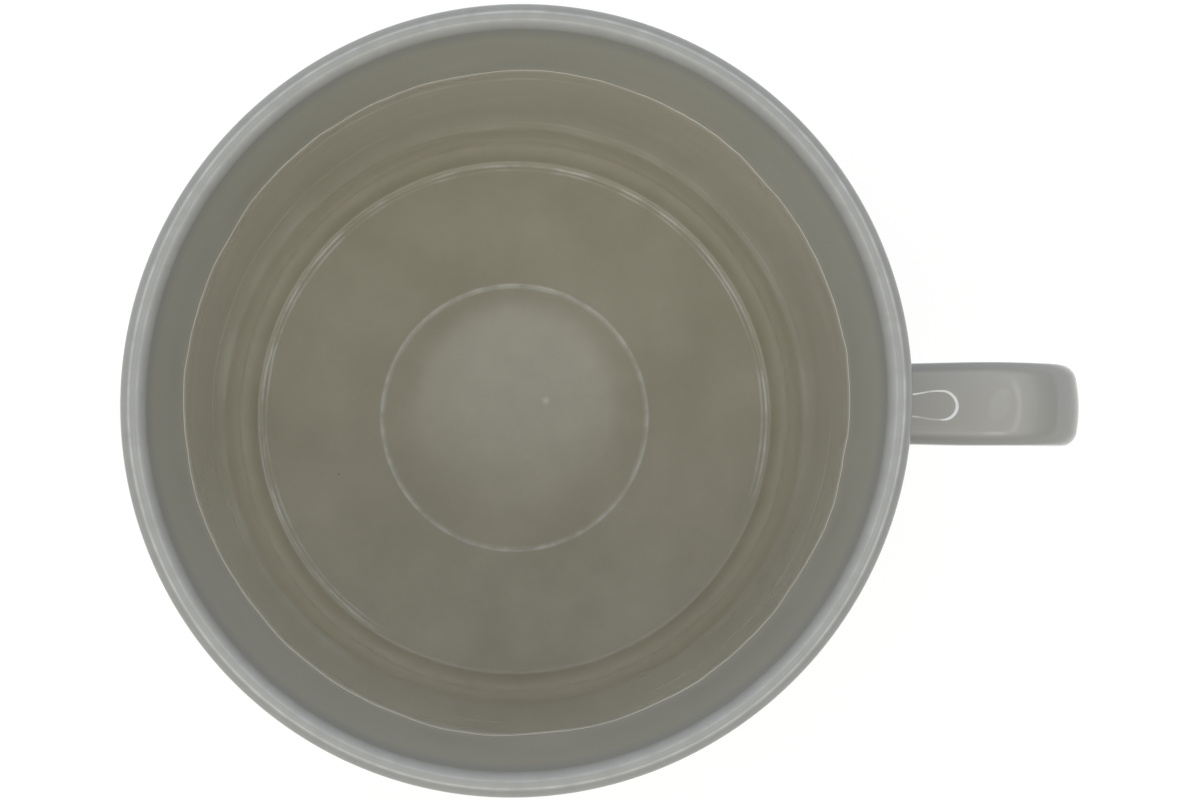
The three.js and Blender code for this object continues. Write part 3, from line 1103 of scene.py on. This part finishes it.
# %% Dome of light
def dome():
    """A world whose strength follows the angle from straight above."""
    world = bpy.data.worlds.new("soft_tent")
    bpy.context.scene.world = world
    world.use_nodes = True
    tree = world.node_tree
    direction = add_node(tree, "ShaderNodeTexCoord").outputs["Generated"]
    parts = add_node(tree, "ShaderNodeSeparateXYZ", direction).outputs
    brightest = 4.0
    ramp = add_node(tree, "ShaderNodeValToRGB", parts["Z"])
    # degrees from straight above, then the light from all round, the near side and the near left
    levels = (
        (90, 0.85, 0, 0),
        (84, 0.7, 0, 0),
        (78, 0.45, 0, 0),
        (60, 0.5, 0, 0),
        (54, 1.25, 0, 0),
        (46, 1.25, 0, 0.05),
        (42, 1.2, 0, 0.1),
        (37.5, 1.2, 0, 0.15),
        (36.5, 1.5, 1.3, 0.15),
        (33, 1.5, 1.3, 0.15),
        (32, 1.2, 0, 0.2),
        (24, 0.99, 0, 0.8),
        (18, 0.98, 0, 1.5),
        (8, 0.98, 0, 1.5),
        (5, 0.99, 0, 0),
    )
    stops = ramp.color_ramp.elements
    while len(stops) < len(levels):
        stops.new(0.5)
    for stop, (angle, around, near, side) in zip(stops, levels):
        stop.position = math.cos(math.radians(angle))
        stop.color = (around / brightest, near / brightest, side / brightest, 1.0)
    level = add_node(tree, "ShaderNodeSeparateColor", ramp).outputs

    lamp_tilt = math.radians(2.7)
    lamp_way = (math.sin(math.radians(0.5)), math.sin(lamp_tilt), math.cos(lamp_tilt))
    lamp_edge = math.cos(math.radians(3.2))
    lamp_core = math.cos(math.radians(0.8))
    aimed = {}
    for name, towards, start, end, top in (
        ("near", (0.3, -0.95, 0.0), -0.2, -0.05, brightest),
        ("side", (-0.4, -0.92, 0.0), 0.15, 0.4, brightest),
        ("lamp", lamp_way, lamp_edge, lamp_core, 1.9),
        ("warm", (0.0, -1.0, 0.0), -0.5, 0.5, 1.0),
        ("shade", (1.0, 0.0, 0.0), 0.5, 0.95, -0.55),
    ):
        dot = add_node(tree, VECTOR_MATH, direction, towards, operation="DOT_PRODUCT").outputs["Value"]
        aimed[name] = add_node(tree, MAP_RANGE, dot, start, end, 0.0, top, interpolation_type="SMOOTHSTEP")
    total = aimed["lamp"]
    for channel, gain in (("Red", brightest), ("Green", aimed["near"]), ("Blue", aimed["side"])):
        total = add_node(tree, MATH, level[channel], gain, total, operation="MULTIPLY_ADD")
    shaded = add_node(tree, MATH, total, aimed["shade"], total, operation="MULTIPLY_ADD")
    hues = {"Factor": aimed["warm"], 6: linear("#f8faff"), 7: linear("#f3f0e7")}
    hue = add_node(tree, MIX, hues, data_type="RGBA")
    fill(tree, tree.nodes["Background"], {"Color": hue.outputs[2], "Strength": shaded})
    return world


world = dome()
print("light:", world.name)

# %% [markdown]
# ## Camera
# The photograph looks straight down into the cup from about a forearm's length. The middle of the floor
# sits a little below the middle of the rim in it, which tells how far the camera stood off the axis.


# %% Camera
def camera():
    """A long lens above the cup, aimed at the middle of the picture."""
    picture_width = 1200
    rim_pixels = 396.1
    rim_centre = (518.2, 399.0)
    picture_centre = (600.0, 400.0)
    above_rim = 340 * MM
    off_axis = (-1.9 * MM, -10.1 * MM)
    outline_radius = rim_radius - 0.3 * MM
    per_metre = rim_pixels / outline_radius * (above_rim + rim_round) / above_rim
    eye = Vector((axis_x + off_axis[0], off_axis[1], height + above_rim))
    aim_x = axis_x + (picture_centre[0] - rim_centre[0]) / per_metre
    aim_y = (rim_centre[1] - picture_centre[1]) / per_metre
    aim = Vector((aim_x, aim_y, height))
    data = bpy.data.cameras.new("above")
    data.sensor_width = 36.0
    data.lens = per_metre * (eye - aim).length / picture_width * data.sensor_width
    data.clip_start = 0.01
    data.clip_end = 50.0
    seen = placed("above", data)
    back = (eye - aim).normalized()
    right = Vector((0.0, 1.0, 0.0)).cross(back).normalized()
    turn = Matrix((right, back.cross(right), back)).transposed()
    seen.matrix_world = Matrix.Translation(eye) @ turn.to_4x4()
    bpy.context.scene.camera = seen
    print("lens", round(data.lens, 1), "mm at", round((eye - aim).length, 3), "m")
    return seen


camera()
bpy.context.scene.view_settings.view_transform = "Standard"

# %% [markdown]
# ## Sizes, and done
# The box of the solids and the box of the fine meshes are both printed. The fine meshes
# have to stay inside the box of the solids.

# %% Print the boxes and finish
low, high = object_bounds()
for axis, a, b, c, d in zip("xyz", cad_low, cad_high, low, high):
    print(f"{axis}: solids {1000 * a:.2f} to {1000 * b:.2f} mm, pieces {1000 * c:.2f} to {1000 * d:.2f} mm")
